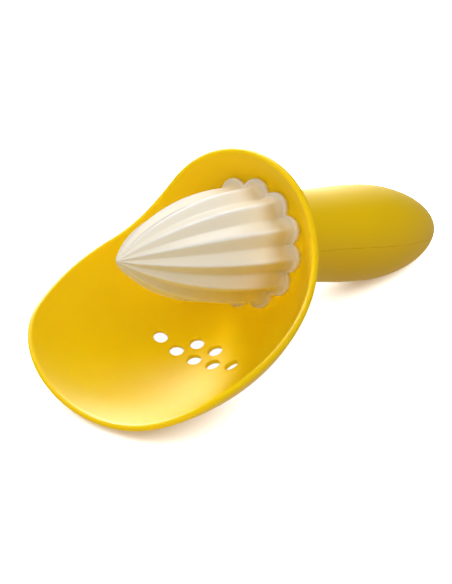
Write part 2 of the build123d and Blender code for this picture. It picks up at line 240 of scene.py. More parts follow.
class Studio(bpy.types.PropertyGroup):
    """Camera, floor and light"""

    azimuth: angle_of("Azimuth", -51.375, "Camera's turn about the upright axis")
    elevation: angle_of("Elevation", 26.448, "Camera's height angle")
    roll: angle_of("Roll", 1.296, "Camera's turn about its own view")
    distance: size_of("Distance", 717.0, "Camera to the aim point")
    aim: point_of("Aim", (-0.014468, 0.008303, 0.016615), "Point that the camera looks at")
    focal_pixels: share_of("Focal length", 2189.7, "Focal length in pixels of the image")
    light_level: share_of("Light level", 1.0, "Factor on all lamps of the object")
    ambient: share_of("Ambient", 0.06, "Strength of the even light from all round")
    floor_level: share_of("Floor light", 28.5, "Level of the wide lamp over the floor")
    floor_glow: share_of("Floor glow", 0.40, "Share of the floor's white that shadows leave")
    glow_colour: colour_of("Shadow tint", (1.0, 0.76, 0.49), "Tint of the floor where no light falls")
    floor_colour: colour_of("Floor grey", (0.085, 0.074, 0.046), "Floor as the object's light meets it")
    floor_lift: share_of("Floor lift", 0.18, "Strength of the light that the floor throws up")
    lift_colour: colour_of("Lift tint", (1.0, 0.75, 0.3), "Tint of the light that the floor throws up")
    patch_centre: point_of("Bright patch", (-0.036, 0.008, 0.0), "Middle of the white under the holes")
    patch_inner: size_of("Patch core", 24.0, "Radius of the patch that is fully white")
    patch_outer: size_of("Patch rim", 36.0, "Radius at which the patch has faded out")
    far_start: size_of("Far floor start", 300.0, "Distance at which the floor begins to fade to white")
    far_end: size_of("Far floor end", 600.0, "Distance from which the floor is white")


# Meshes


def round_axis(radius, angle, height):
    """Points at a radius, an angle round the head's axis and a height along it, in the tool frame."""
    parts = np.broadcast_arrays(radius * np.cos(angle), radius * np.sin(angle), height)
    return np.stack(parts, axis=-1)


def lay_on_table(x, y, z):
    """Points of the tool frame in the CAD model's frame. Points that fall under the table move up to
    it, which leaves the flat lands that the tool rests on."""
    x, y, z = np.broadcast_arrays(x, y, z)
    points = FLANGE_CENTRE + x[..., None] * UPWARD + y[..., None] * ACROSS + z[..., None] * AXIS
    points[..., 2] = np.maximum(points[..., 2], 0.0)
    return points


def smooth(value):
    """A soft step from 0 to 1: three times the square less twice the cube."""
    value = np.clip(value, 0, 1)
    return value**2 * (3 - 2 * value)


def grid_quads(rows, columns, close_rows=False):
    """Corner numbers of the quads of a grid of points whose last column joins the first, as an
    array of row, column and corner. With close_rows the last row also joins the first."""
    index = np.arange(rows * columns).reshape(rows, columns)
    if close_rows:
        index = np.vstack([index, index[:1]])
    index = np.hstack([index, index[:, :1]])
    return np.stack([index[:-1, :-1], index[1:, :-1], index[1:, 1:], index[:-1, 1:]], axis=-1)


def join_meshes(parts):
    """Points and quads of several meshes as one. Each one's corner numbers move on past those of
    the meshes before it."""
    points = [part.reshape(-1, 3) for part, _ in parts]
    starts = np.cumsum([0] + [len(part) for part in points[:-1]])
    quads = [corners.reshape(-1, 4) + start for (_, corners), start in zip(parts, starts)]
    return np.concatenate(points), np.concatenate(quads)


def add_object(name, data):
    """A new object in the scene."""
    thing = bpy.data.objects.new(name, data)
    bpy.context.scene.collection.objects.link(thing)
    return thing


def piece_from(name, points, quads, sharp_degrees, marks=None):
    """A mesh object from points and quads: doubles are merged, which closes seams and poles, faces
    are turned outwards, and shading is smooth but for edges sharper than an angle. marks are named
    values for each point."""
    mesh = bpy.data.meshes.new(name)
    mesh.from_pydata(points.reshape(-1, 3), [], quads.reshape(-1, 4))
    for mark, values in (marks or {}).items():
        layer = mesh.attributes.new(mark, "FLOAT", "POINT")
        layer.data.foreach_set("value", np.ascontiguousarray(values, dtype=np.float32).ravel())
    shape = bmesh.new()
    shape.from_mesh(mesh)
    bmesh.ops.remove_doubles(shape, verts=shape.verts, dist=MERGE_DISTANCE)
    bmesh.ops.dissolve_degenerate(shape, edges=shape.edges, dist=MERGE_DISTANCE / 10)
    bmesh.ops.recalc_face_normals(shape, faces=shape.faces)
    shape.to_mesh(mesh)
    shape.free()
    mesh.polygons.foreach_set("use_smooth", np.ones(len(mesh.polygons), dtype=bool))
    mesh.set_sharp_from_angle(angle=math.radians(sharp_degrees))
    return add_object(name, mesh)


# Ribbed head

RIB_STEPS = 20
RIB_CROWDING = 0.6
CONE_ROWS = 64
TIP_CROWDING = 1.6
FLARE_ROWS = 12
FLARE_POWER = 2.4
# Share of the painted petal-edge glow on the petals' flat band
FOOT_GLOW = 0.35
BAND_SHARES = (0.34, 0.67)
HOLLOW_ROWS = 12
LEAD_ROWS = 4
WEB_ROWS = 10
WEB_RISE = 0.75


def crest_profile(sizes, height):
    """Crest radius at a height: full radius times (1 - (height / length) to the roundness) to the
    taper."""
    rise = np.clip(height / sizes.length, 0.0, 1.0)
    return sizes.crest_radius * (1 - rise**sizes.roundness) ** sizes.taper


def rib_angles(sizes):
    """Angles round the head. A sine moves them closer together at each crest and each valley."""
    share = np.arange(sizes.rib_count * RIB_STEPS) / RIB_STEPS
    eased = share - RIB_CROWDING * np.sin(4 * np.pi * share) / (4 * np.pi)
    return 2 * np.pi * eased / sizes.rib_count


def crest_distance(sizes, angles):
    """Angle from the nearest crest."""
    half = np.pi / sizes.rib_count
    return np.abs((angles + half) % (2 * half) - half)


def crest_offset(sizes, angles):
    """Angle from the nearest crest, rounded at crest and valley: the root of a square plus a
    softness squared takes the place of the bare distance."""
    bare = crest_distance(sizes, angles)
    left = np.pi / sizes.rib_count - bare
    crest_lift = np.sqrt(bare**2 + sizes.crest_softness**2) - bare
    valley_lift = np.sqrt(left**2 + sizes.valley_softness**2) - left
    return bare + crest_lift - valley_lift


def rib_section(sizes, crest, offset):
    """Radius of a section with straight flanks: the polar form of the line from a crest to the next
    valley."""
    half = np.pi / sizes.rib_count
    valley = crest * sizes.valley_share
    bottom = crest * np.sin(offset) + valley * np.sin(half - offset)
    return crest * valley * math.sin(half) / np.maximum(bottom, SMALLEST)


def petal_section(crest, valley, half, offset):
    """Radius of a section of round petals: the polar form of a circle whose middle lies out along
    the crest."""
    middle = (crest**2 - valley**2) / (2 * (crest - valley * math.cos(half)))
    petal = crest - middle
    return middle * np.cos(offset) + np.sqrt(petal**2 - (middle * np.sin(offset)) ** 2)


def key_section(sizes, angles):
    """Radius of the key's many-sided section, with a corner at the top."""
    half = np.pi / sizes.key_sides
    turn = angles % (2 * half) - half
    return sizes.key_radius * math.cos(half) / np.cos(turn)


def head_rows(sizes, angles):
    """Rows of radius, height, petal edge mark and crest mark, from the tip over the ribs, the flare,
    the petals' edge and back, the hollow, the shank with its groove, the key and the bore to the
    bore's end. The petal edge mark paints a paler glow on the petals' thin edge. The crest mark, a
    painted highlight along each crest, is a bell curve over the angle from the crest."""
    half = np.pi / sizes.rib_count
    offset = crest_offset(sizes, angles)
    ones = np.ones_like(angles)
    # Painted highlight: strongest on each crest, fading over the width of the painted crest line
    crest_highlight_mark = np.exp(-((crest_distance(sizes, angles) / sizes.crest_highlight_width) ** 2))
    rows = []

    # mark sets the painted glow on the petals' edge, crest sets the painted crest highlight
    def add(radius, height, mark=0.0, crest=0.0):
        rows.append((radius * ones, height * ones, mark * ones, crest * crest_highlight_mark))

    for share in np.linspace(0, 1, CONE_ROWS):
        rise = 1 - share**TIP_CROWDING
        height = sizes.flare_height + (sizes.length - sizes.flare_height) * rise
        add(rib_section(sizes, crest_profile(sizes, height), offset), height, crest=1.0)
    # The third value of each row below paints a paler glow on the petals' flat band and thin edge; the
    # fourth fades the painted crest highlight toward the flange
    band, edge = sizes.petal_band, sizes.flange_round
    petal = petal_section(sizes.petal_radius, sizes.petal_valley, half, offset)
    foot = petal_section(sizes.petal_radius - band, sizes.petal_valley - band, half, offset)
    for rise in np.linspace(1, 0, FLARE_ROWS)[1:]:
        height = sizes.flare_height * rise
        spread = (1 - rise) ** FLARE_POWER
        ribs = rib_section(sizes, crest_profile(sizes, height), offset)
        add(ribs + (foot - ribs) * spread, height, FOOT_GLOW * spread**3, rise**2)
    for share in BAND_SHARES:
        add(foot + (petal - edge - foot) * share, 0.0, FOOT_GLOW + (1 - FOOT_GLOW) * share)
    for turn in np.linspace(0, np.pi / 2, ROUND_STEPS):
        add(petal - edge * (1 - np.sin(turn)), -edge * (1 - np.cos(turn)), 1.0)
    back = -sizes.flange_thickness
    for turn in np.linspace(np.pi / 2, 0, ROUND_STEPS):
        add(petal - edge * (1 - np.sin(turn)), back + edge * (1 - np.cos(turn)), 1.0)
    top_crest = (sizes.shank_radius + 2 * sizes.wall) / sizes.valley_share / sizes.crest_radius
    hollow_top = sizes.length * (1 - top_crest ** (1 / sizes.taper)) ** (1 / sizes.roundness)
    add(sizes.crest_radius * sizes.valley_share - sizes.wall, back)
    for height in np.linspace(0, hollow_top, HOLLOW_ROWS):
        add(crest_profile(sizes, height) * sizes.valley_share - sizes.wall, height)
    add(sizes.shank_radius, hollow_top)
    for side in (1, -1):
        lip = -SEAL_DEPTH + side * sizes.groove_half
        wide, narrow = (sizes.shank_radius, sizes.groove_radius)[::side]
        add(wide, lip)
        add(narrow, lip)
    add(sizes.shank_radius, -sizes.shank_depth)
    key = key_section(sizes, angles)
    add(key, -sizes.shank_depth)
    for lead in np.linspace(sizes.key_lead, 0, LEAD_ROWS):
        add(np.minimum(key, sizes.key_radius - sizes.key_lead + lead), -sizes.key_depth + lead)
    add(sizes.bore_radius, -sizes.key_depth)
    add(sizes.bore_radius, sizes.bore_top)
    add(0.0, sizes.bore_top)
    return [np.array(values) for values in zip(*rows)]


def head_webs(sizes):
    """The webs in the hollow, each a flat plate from shank to shell: a ring of four corners carried
    up the axis, with its ends drawn together to close it."""
    heights = np.linspace(-sizes.flange_thickness, WEB_RISE * sizes.bore_top, WEB_ROWS)
    heights = np.concatenate([heights[:1], heights, heights[-1:]])
    outer = crest_profile(sizes, heights) * sizes.valley_share - sizes.wall / 2
    inner = np.full_like(heights, sizes.shank_radius - sizes.wall / 2)
    reach = np.stack([inner, outer, outer, inner], axis=1)
    side = np.tile(np.array([-0.5, -0.5, 0.5, 0.5]) * sizes.web_thickness, (len(heights), 1))
    reach[[0, -1]] = (inner + outer)[[0, -1], None] / 2
    side[[0, -1]] = 0.0
    turns = 2 * np.pi * np.arange(sizes.web_count) / sizes.web_count
    plates = []
    for turn in turns:
        x, y = reach * np.cos(turn) - side * np.sin(turn), reach * np.sin(turn) + side * np.cos(turn)
        plates.append((lay_on_table(x, y, heights[:, None]), grid_quads(len(heights), 4)))
    return join_meshes(plates)


# Catcher bowl

CORNER_STEPS = 200
WALL_SAMPLES = 6001
FAR_OUT = 0.2
HALVINGS = 48
HOLE_CELLS = 4
HOLE_REACH = 5.5
PITCH_CELLS = 14
ROW_CELLS = 11
MARGIN_CELLS = 7
SIDE_CELLS = 5
COARSE_CELLS = 80
LOW_ROWS = 14
LOW_SHARE = 0.55
UPPER_ROWS = 46
FAN_MARGIN = 2
FAN_END = 1.6
LIP_STEPS = 13
BACK_ROWS = 7
SEAT_ROWS = 5
FLOOR_RINGS = (0.75, 0.5)
BORE_EASE = 0.0003


def rounded_line(corners, radii):
    """Points of a bent line with round corners: at each corner an arc that touches both its runs."""
    pieces = [corners[:1]]
    for before, corner, after, radius in zip(corners[:-2], corners[1:-1], corners[2:], radii):
        back = (before - corner) / np.linalg.norm(before - corner)
        ahead = (after - corner) / np.linalg.norm(after - corner)
        half = np.arccos(back @ ahead) / 2
        middle = corner + (back + ahead) / np.linalg.norm(back + ahead) * radius / np.sin(half)
        start = corner + back * radius / np.tan(half) - middle
        finish = corner + ahead * radius / np.tan(half) - middle
        first = np.arctan2(start[1], start[0])
        turn = (np.arctan2(finish[1], finish[0]) - first + np.pi) % (2 * np.pi) - np.pi
        angles = first + turn * np.linspace(0, 1, CORNER_STEPS)
        pieces.append(middle + radius * np.stack([np.cos(angles), np.sin(angles)], axis=1))
    pieces.append(corners[-1:])
    return np.vstack(pieces)


class BowlWall:
    """The middle of the bowl's wall: a quarter ellipse turned about the axis, measured by the angle
    round the axis and by the arc along it from the edge of the flat floor."""

    def __init__(self, sizes):
        self.sizes = sizes
        self.half_wall = sizes.wall / 2
        seat_share = sizes.seat_radius / (sizes.radius - sizes.wall)
        inner_length = (sizes.lip_reach + sizes.seat_depth) / math.sqrt(1 - seat_share**2)
        self.width = sizes.radius - self.half_wall
        self.length = inner_length + self.half_wall
        self.swing = np.linspace(np.pi / 2, 0, WALL_SAMPLES)
        radius = self.width * np.cos(self.swing)
        height = sizes.lip_reach - self.length * np.sin(self.swing)
        steps = np.hypot(np.diff(radius), np.diff(height))
        arc = np.concatenate([[0.0], np.cumsum(steps)])
        _, along = self.normal(self.swing)
        self.inner_height = height - self.half_wall * along
        outer_height = height + self.half_wall * along
        self.arc = arc - np.interp(-sizes.seat_depth, self.inner_height, arc)
        self.back_start = np.interp(-sizes.floor_depth, outer_height, self.arc)

    def normal(self, swing):
        """The wall's outward direction: its parts away from the axis and along it."""
        out, along = np.cos(swing) / self.width, -np.sin(swing) / self.length
        size = np.hypot(out, along)
        return out / size, along / size

    def at(self, angle, arc, offset):
        """Point at an angle, an arc and an offset along the wall's normal, in the tool frame."""
        swing = np.interp(arc, self.arc, self.swing)
        out, along = self.normal(swing)
        radius = self.width * np.cos(swing) + offset * out
        height = self.sizes.lip_reach - self.length * np.sin(swing) + offset * along
        return round_axis(radius, angle, height)

    def radius_at(self, arc):
        """Radius of the wall's middle at an arc."""
        return self.width * np.cos(np.interp(arc, self.arc, self.swing))

    def arc_of_reach(self, reach):
        """Arc at which the inside of the wall stands at a height over the flange front."""
        return np.interp(reach, self.inner_height, self.arc)

    def rim_arc(self, angle):
        """Arc at which each angle meets the rim line, set back by the lip's radius. Halving finds
        it."""
        sizes = self.sizes
        lean = (FAR_OUT + sizes.rim_corner_drop) * math.tan(sizes.rim_lean)
        corners = np.array(
            [
                [FAR_OUT, sizes.rim_corner_reach - lean],
                [-sizes.rim_corner_drop, sizes.rim_corner_reach],
                [-sizes.lip_corner_drop, sizes.lip_reach],
                [-FAR_OUT, sizes.lip_reach],
            ]
        )
        line = rounded_line(corners, (sizes.rim_corner_radius, sizes.lip_corner_radius))
        along = np.gradient(line, axis=0)
        along /= np.linalg.norm(along, axis=1, keepdims=True)
        line = line + self.half_wall * np.stack([-along[:, 1], along[:, 0]], axis=1)
        low, high = np.zeros_like(angle), np.full_like(angle, self.arc[-1])
        for _ in range(HALVINGS):
            middle = (low + high) / 2
            point = self.at(angle, middle, 0.0)
            inside = point[:, 2] < np.interp(point[:, 0], line[::-1, 0], line[::-1, 1])
            low, high = np.where(inside, middle, low), np.where(inside, high, middle)
        return low


class DrainGrid:
    """A grid over the bowl's wall whose lines bend round the drain holes. Near a hole a square of
    the grid is pressed into a circle: each point moves along its ray from the hole's middle, fully
    at the square that becomes the hole's edge and less further out. Under the holes the outside is
    recessed, with a smooth edge."""

    def __init__(self, wall):
        sizes = wall.sizes
        self.wall = wall
        self.ring = sizes.hole_radius + sizes.hole_round
        front_arc, back_arc = wall.arc_of_reach(sizes.front_reach), wall.arc_of_reach(sizes.back_reach)
        self.row_step = (front_arc - back_arc) / ROW_CELLS
        front_pitch = sizes.hole_pitch / self.inner_radius(sizes.front_reach)
        back_pitch = sizes.hole_pitch / self.inner_radius(sizes.back_reach)
        self.column_step = front_pitch / PITCH_CELLS
        fine = PITCH_CELLS * (sizes.front_count - 1) // 2 + MARGIN_CELLS + SIDE_CELLS
        near = self.column_step * np.arange(-fine, fine + 1)
        far = np.linspace(near[-1], 2 * np.pi - near[-1], 2 * COARSE_CELLS + 1)[1:-1]
        turns = np.concatenate([near, far])
        signed = np.where(turns > np.pi, turns - 2 * np.pi, turns)
        low_rows = np.linspace(0, back_arc - MARGIN_CELLS * self.row_step, LOW_ROWS, endpoint=False)
        hole_rows = back_arc + self.row_step * np.arange(-MARGIN_CELLS, ROW_CELLS + MARGIN_CELLS + 1)
        rows = np.concatenate([low_rows, hole_rows])
        rim = wall.rim_arc(np.pi + turns)
        lower = rows[:, None] * np.minimum(1.0, LOW_SHARE * rim / rows[-1])
        upper_share = np.linspace(0, 1, UPPER_ROWS)[1:, None]
        self.arc = np.vstack([lower, lower[-1] + (rim - lower[-1]) * upper_share])
        row, column = np.indices(self.arc.shape)
        back_row = len(low_rows) + MARGIN_CELLS
        fan = 1 - smooth((row - back_row - FAN_MARGIN) / (ROW_CELLS - 2 * FAN_MARGIN))
        fade = np.clip(FAN_END - np.abs(signed), 0, 1)
        self.turn = turns + fan * (back_pitch / front_pitch - 1) * signed * fade
        half_span = front_pitch * (sizes.front_count - 1) / 2
        past_side = (np.abs(signed) - half_span) * wall.radius_at(front_arc) - self.ring
        past_row = np.maximum(back_arc - self.arc, self.arc - front_arc) - self.ring
        past = np.hypot(np.maximum(past_side, 0), np.maximum(past_row, 0))
        self.recess = sizes.hole_recess * smooth(1 - past / sizes.recess_ease)
        self.centres = []
        self.open = np.ones((len(self.arc) - 1, len(turns)), bool)
        for count, pitch, arc, middle_row in (
            (sizes.front_count, front_pitch, front_arc, back_row + ROW_CELLS),
            (sizes.back_count, back_pitch, back_arc, back_row),
        ):
            for place in np.arange(count) - (count - 1) / 2:
                middle_column = fine + int(round(PITCH_CELLS * place))
                self.press_hole(row - middle_row, column - middle_column, pitch * place, arc)

    def inner_radius(self, reach):
        """Radius of the bowl's inside at a height, where the pitch is measured."""
        swing = np.interp(reach, self.wall.inner_height, self.wall.swing)
        out, _ = self.wall.normal(swing)
        return self.wall.width * np.cos(swing) - self.wall.half_wall * out

    def press_hole(self, row, column, turn, arc):
        """Presses the square of grid cells round a hole's middle into a circle and takes its cells
        out. Rows and columns count from the hole's middle."""
        radius = self.wall.radius_at(arc)
        over = column * self.column_step * radius
        along = row * self.row_step
        cells = np.maximum(np.abs(column), np.abs(row))
        weight = np.clip((HOLE_REACH - cells) / (HOLE_REACH - HOLE_CELLS), 0, 1)
        scale = self.ring * cells / HOLE_CELLS / np.maximum(np.hypot(over, along), SMALLEST)
        self.turn = self.turn + weight * (turn + over * scale / radius - self.turn)
        self.arc = self.arc + weight * (arc + along * scale - self.arc)
        inside = (np.abs(row + 0.5) < HOLE_CELLS) & (np.abs(column + 0.5) < HOLE_CELLS)
        self.open &= ~inside[:-1]
        self.centres.append((turn, arc, radius))

    def hole_tube(self, turn, arc, radius):
        """The wall of one hole: rings from the bowl's inside to its outside, with rounded edges."""
        sizes = self.wall.sizes
        side = np.arange(-HOLE_CELLS, HOLE_CELLS)
        full = np.full_like(side, HOLE_CELLS)
        over = np.concatenate([side, full, -side, -full]) * self.column_step * radius
        along = np.concatenate([-full, side, full, -side]) * self.row_step
        reach = np.hypot(over, along)
        bend = np.linspace(0, np.pi / 2, ROUND_STEPS)
        wide = sizes.hole_radius + sizes.hole_round * (1 - np.sin(bend))
        deep = -self.wall.half_wall + sizes.hole_round * (1 - np.cos(bend))
        ring = np.concatenate([wide, wide[::-1]])[:, None]
        offset = np.concatenate([deep, -deep[::-1] - sizes.hole_recess])[:, None]
        angle = np.pi + turn + ring * over / reach / radius
        return self.wall.at(angle, arc + ring * along / reach, offset)


def bowl_lip(wall, angle, rim):
    """Half round along the rim: from the wall's outside over the rim to its inside. Its middle line
    is the rim, and its plane is square to that line."""
    middle = wall.at(angle, rim, 0.0)
    outward = wall.at(angle, rim, wall.half_wall) - middle
    ahead = wall.at(angle, rim - wall.half_wall, 0.0) - middle
    run = np.roll(middle, -1, axis=0) - np.roll(middle, 1, axis=0)
    over = np.cross(outward, run)
    over *= wall.half_wall / np.linalg.norm(over, axis=1, keepdims=True)
    over *= -np.sign(np.sum(over * ahead, axis=1, keepdims=True))
    turn = np.linspace(0, np.pi, LIP_STEPS)[1:-1, None, None]
    return middle + np.cos(turn) * outward + np.sin(turn) * over


def seat_curve(wall, share):
    """Radius and height of the rounded corner between flat floor and wall: a curve of the second
    degree that leaves the floor at share 0 and joins the wall at share 1."""
    ease = wall.sizes.seat_ease
    corner_radius, _, corner_height = wall.at(0.0, 0.0, -wall.half_wall)
    end_radius, _, end_height = wall.at(0.0, ease, -wall.half_wall)
    rest = 1 - share
    bend = 2 * rest * share
    radius = rest**2 * (corner_radius - ease) + bend * corner_radius + share**2 * end_radius
    height = rest**2 * corner_height + bend * corner_height + share**2 * end_height
    return radius, height


def bowl_mesh(sizes):
    """Points and quads of the bowl. Rows run from the floor's back up the outside, over the lip,
    down the inside, over the seat, through the neck's bore and back along the neck's outside, and
    close on themselves. The walls of the drain holes join them."""
    wall = BowlWall(sizes)
    grid = DrainGrid(wall)
    angle = np.pi + grid.turn
    outer = wall.at(angle, grid.arc, wall.half_wall - grid.recess)
    inner = wall.at(angle, grid.arc, -wall.half_wall)
    radius, height = seat_curve(wall, np.clip(0.5 + 0.5 * grid.arc / sizes.seat_ease, 0, 1))
    eased = round_axis(radius, angle, height)
    inner = np.where((grid.arc < sizes.seat_ease)[..., None], eased, inner)
    back_arc = np.linspace(wall.back_start, 0, BACK_ROWS)[:-1, None]
    back = wall.at(angle[0], back_arc, wall.half_wall)
    lip = bowl_lip(wall, angle[-1], grid.arc[-1])
    corner = np.stack(seat_curve(wall, np.linspace(0.5, 0, SEAT_ROWS)[1:]), axis=1)
    collar_front = -sizes.neck_depth + sizes.collar_thickness
    profile = np.array(
        [
            *corner,
            *[(share * sizes.seat_radius, -sizes.seat_depth) for share in FLOOR_RINGS],
            (sizes.bore_radius + BORE_EASE, -sizes.seat_depth),
            (sizes.bore_radius, -sizes.seat_depth - BORE_EASE),
            (sizes.bore_radius, -sizes.neck_depth),
            (sizes.collar_radius, -sizes.neck_depth),
            (sizes.collar_radius, collar_front),
            (sizes.neck_radius, collar_front),
            (sizes.neck_radius, -sizes.floor_depth),
        ]
    )
    neck = round_axis(profile[:, :1], angle[0], profile[:, 1:])
    points = np.concatenate([back, outer, lip, inner[::-1], neck])
    rows, columns = points.shape[:2]
    keep = np.ones((rows, columns), bool)
    outer_start = len(back)
    inner_start = outer_start + len(outer) + len(lip)
    keep[outer_start : outer_start + len(outer) - 1] = grid.open
    keep[inner_start : inner_start + len(inner) - 1] = grid.open[::-1]
    parts = [(points, grid_quads(rows, columns, close_rows=True)[keep])]
    for centre in grid.centres:
        tube = grid.hole_tube(*centre)
        parts.append((tube, grid_quads(*tube.shape[:2])))
    points, quads = join_meshes(parts)
    return lay_on_table(*points.T), quads


# Grip

FRONT_STEPS = 16
SWELL_STEPS = 32
TAIL_STEPS = 48
TAIL_CROWDING = 1.5
SHELL_STEPS = 72
LARGEST_EDGE_SHARE = 0.2


def bezier(first, second, third, fourth, share):
    """Cubic curve through its end points, with two handles."""
    rest = 1 - share
    start, end = rest**3 * first, share**3 * fourth
    return start + 3 * rest**2 * share * second + 3 * rest * share**2 * third + end


def grip_body(sizes, inset):
    """Distance along the grip's axis and radius, behind the bend, of the grip set in by inset: a
    swell to the belly and a round tail, each a cubic curve."""
    neck, belly = sizes.neck_radius - inset, sizes.radius - inset
    start, end = sizes.neck_radius * math.sin(sizes.droop), sizes.length - inset
    middle = (start + sizes.belly_reach) / 2
    shoulder = sizes.belly_reach + (end - sizes.belly_reach) * sizes.shoulder_share
    rise = np.linspace(0, 1, SWELL_STEPS)[1:]
    fall = 1 - (1 - np.linspace(0, 1, TAIL_STEPS)[1:]) ** TAIL_CROWDING
    swell_along = bezier(start, middle, middle, sizes.belly_reach, rise)
    swell_radius = bezier(neck, neck, belly, belly, rise)
    tail_along = bezier(sizes.belly_reach, shoulder, end, end, fall)
    tail_radius = bezier(belly, belly, belly * sizes.tail_share, 0.0, fall)
    along = np.concatenate([swell_along, tail_along]) + sizes.bend_depth
    return along, np.concatenate([swell_radius, tail_radius])


def grip_front(sizes, bowl):
    """Distance and radius, outside and inside, from the bowl's back to the bend. Outside, an arc
    falls from the bowl's own slope to the neck. Inside, the bulkhead's hole steps out to the
    hollow."""
    wall = BowlWall(bowl)
    outer_length = wall.length + wall.half_wall
    reach = bowl.lip_reach + bowl.floor_depth
    wide = bowl.radius * math.sqrt(1 - (reach / outer_length) ** 2)
    turn = math.atan((bowl.radius / outer_length) ** 2 * reach / wide)
    bend = (wide - sizes.neck_radius) / (1 - math.cos(turn))
    swing = np.linspace(turn, 0, FRONT_STEPS)
    flare_along = bowl.floor_depth + bend * (math.sin(turn) - np.sin(swing))
    flare_radius = sizes.neck_radius + bend * (1 - np.cos(swing))
    end = sizes.bend_depth + sizes.neck_radius * math.sin(sizes.droop)
    run_along = np.linspace(flare_along[-1], end, FRONT_STEPS)[1:]
    along = np.concatenate([flare_along, run_along])
    radius = np.concatenate([flare_radius, np.full_like(run_along, sizes.neck_radius)])
    inner_run = np.linspace(sizes.bulkhead_depth, end, len(along) - 2)
    inner_along = np.concatenate([[bowl.floor_depth, sizes.bulkhead_depth], inner_run])
    hollow = np.full_like(inner_run, sizes.neck_radius - sizes.wall)
    inner_radius = np.concatenate([[sizes.hold_radius, sizes.hold_radius], hollow])
    return along, radius, inner_along, inner_radius


def on_grip(sizes, along, up, across):
    """Points of the grip on the table. Its axis runs straight back and then droops: it follows half
    the sum of the distance past the bend and the root of that distance squared plus a softness
    squared, which is near 0 before the bend and near the distance after it."""
    past = along - sizes.bend_depth
    root = np.sqrt(past**2 + sizes.bend_length**2)
    behind = (past + root) / 2
    turn = sizes.droop * (1 + past / root) / 2
    x = -math.sin(sizes.droop) * behind + up * np.cos(turn)
    z = -along + (1 - math.cos(sizes.droop)) * behind - up * np.sin(turn)
    return lay_on_table(x, across, z)


def shell_mesh(sizes, bowl, side):
    """Points and quads of one grip shell, above the seam for side 1 and under it for side -1. Each
    row is a closed ring: the outer arc, a rounded edge down to the seam, the inner arc and the other
    edge. A first row draws outside and inside together and closes the front; the tail closes
    itself."""
    fronts = grip_front(sizes, bowl)
    bodies = (*grip_body(sizes, 0.0), *grip_body(sizes, sizes.wall))
    along, radius, inner_along, inner_radius = (
        np.concatenate([front[:1], front, body])[:, None] for front, body in zip(fronts, bodies)
    )
    radius[0] = inner_radius[0] = (radius[0] + inner_radius[0]) / 2
    gap = np.minimum(sizes.seam_gap, LARGEST_EDGE_SHARE * inner_radius)
    edge = np.minimum(sizes.seam_tuck if side > 0 else sizes.seam_round, LARGEST_EDGE_SHARE * radius)
    edge[0] = 0.0
    sweep = np.linspace(-1, 1, SHELL_STEPS)
    outer_end = np.clip((gap + edge) / np.maximum(radius, SMALLEST), 0, 1)
    inner_end = np.clip(gap / np.maximum(inner_radius, SMALLEST), 0, 1)
    outer_turn, inner_turn = np.arccos(outer_end) * sweep, np.arccos(inner_end) * sweep[::-1]
    bend = np.linspace(0, np.pi / 2, ROUND_STEPS)[1:]
    edge_up = gap + edge * (1 - np.sin(bend))
    edge_across = np.sqrt(np.maximum(radius**2 - (gap + edge) ** 2, 0)) - edge * (1 - np.cos(bend))
    outer_up, outer_across = radius * np.cos(outer_turn), radius * np.sin(outer_turn)
    inner_up, inner_across = inner_radius * np.cos(inner_turn), inner_radius * np.sin(inner_turn)
    up = np.hstack([outer_up, edge_up, inner_up, edge_up[:, ::-1]])
    across = np.hstack([outer_across, edge_across, inner_across, -edge_across[:, ::-1]])
    inside = np.zeros(up.shape[1], bool)
    inside[len(sweep) + len(bend) : 2 * len(sweep) + len(bend)] = True
    points = on_grip(sizes, np.where(inside, inner_along, along), side * up, across)
    return points, grid_quads(*up.shape)


# Finishes

NOISE_ROUGHNESS = 0.55
CLOUD_SCALE, CLOUD_DETAIL, CLOUD_RANGE = 38.0, 3.0, (-0.2, 1.2)
GLOSS_SCALE, GLOSS_DETAIL = 140.0, 4.0
GRAIN_DETAIL, GRAIN_DISTANCE = 2.0, 0.0001


def opaque(colour):
    """A colour with its fourth value."""
    return (*colour, 1.0)


def add_node(tree, kind, inputs, **settings):
    """A new shader node. Its settings go by name. Its inputs go by name or number, and each is a
    value or the output of another node."""
    node = tree.nodes.new(kind)
    for key, value in settings.items():
        setattr(node, key, value)
    for key, value in inputs.items():
        if isinstance(value, bpy.types.NodeSocket):
            tree.links.new(value, node.inputs[key])
        else:
            node.inputs[key].default_value = value
    return node


def bare_material(name):
    """A new material, its node tree, and the surface input of the one node in it."""
    material = bpy.data.materials.new(name)
    material.use_nodes = True
    tree = material.node_tree
    tree.nodes.clear()
    return material, tree, tree.nodes.new("ShaderNodeOutputMaterial").inputs["Surface"]


def own_place(tree):
    """The piece's own coordinates."""
    return tree.nodes.new("ShaderNodeTexCoord").outputs["Object"]


def noise(tree, place, scale, detail):
    """A noise pattern on the piece's own coordinates."""
    inputs = {"Vector": place, "Scale": scale, "Detail": detail, "Roughness": NOISE_ROUGHNESS}
    return add_node(tree, "ShaderNodeTexNoise", inputs).outputs["Fac"]


def ranged(tree, value, low, high):
    """A value from 0 to 1 spread over another range."""
    inputs = {"Value": value, "To Min": low, "To Max": high}
    return add_node(tree, "ShaderNodeMapRange", inputs).outputs["Result"]


def mixed(tree, share, first, second):
    """A colour between two."""
    return add_node(tree, "ShaderNodeMix", {0: share, 6: first, 7: second}, data_type="RGBA").outputs[2]


